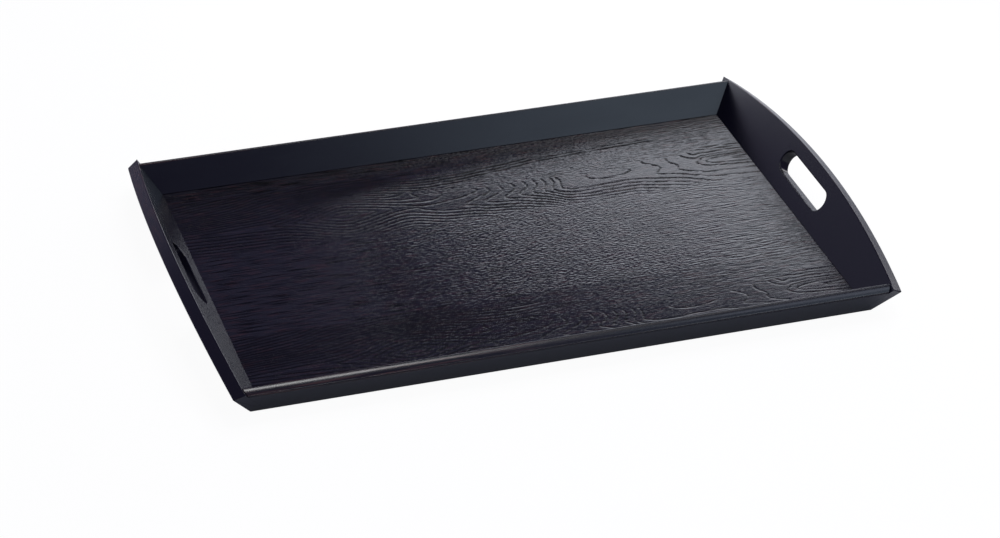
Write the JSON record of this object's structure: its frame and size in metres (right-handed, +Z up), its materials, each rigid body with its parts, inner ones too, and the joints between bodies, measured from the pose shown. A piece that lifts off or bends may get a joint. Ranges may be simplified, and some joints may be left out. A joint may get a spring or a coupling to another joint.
{
  "type": "serving tray",
  "caption": "Rectangular wooden serving tray with low flared sides, higher arched ends with a hand slot each, and an oak-veneered floor. It nests into others of its shape.",
  "frame": {"origin": "centre of the plane that the tray stands on", "axes": "+X along the tray, from its left hand slot to its right one; +Y towards its back; +Z up"},
  "size_m": [0.5996, 0.3918, 0.0473],
  "materials": {
    "black_lacquer": "satin black lacquer on wood",
    "black_oak": "black-stained open-pore oak veneer, satin",
    "plywood": "bare plywood",
    "black_backing": "thin matt black finish on veneer",
    "beech": "bare beech"
  },
  "bodies": {
    "root": {"front_board": "black_lacquer", "back_board": "black_lacquer", "left_end_board": "black_lacquer", "right_end_board": "black_lacquer", "front_veneer_leaf": "black_oak", "back_veneer_leaf": "black_oak", "panel_core": "plywood", "backing_veneer": "black_backing", "corner_dowel_left_front_low": "beech", "corner_dowel_left_front_high": "beech", "corner_dowel_left_back_low": "beech", "corner_dowel_left_back_high": "beech", "corner_dowel_right_front_low": "beech", "corner_dowel_right_front_high": "beech", "corner_dowel_right_back_low": "beech", "corner_dowel_right_back_high": "beech"}
  },
  "joints": []
}
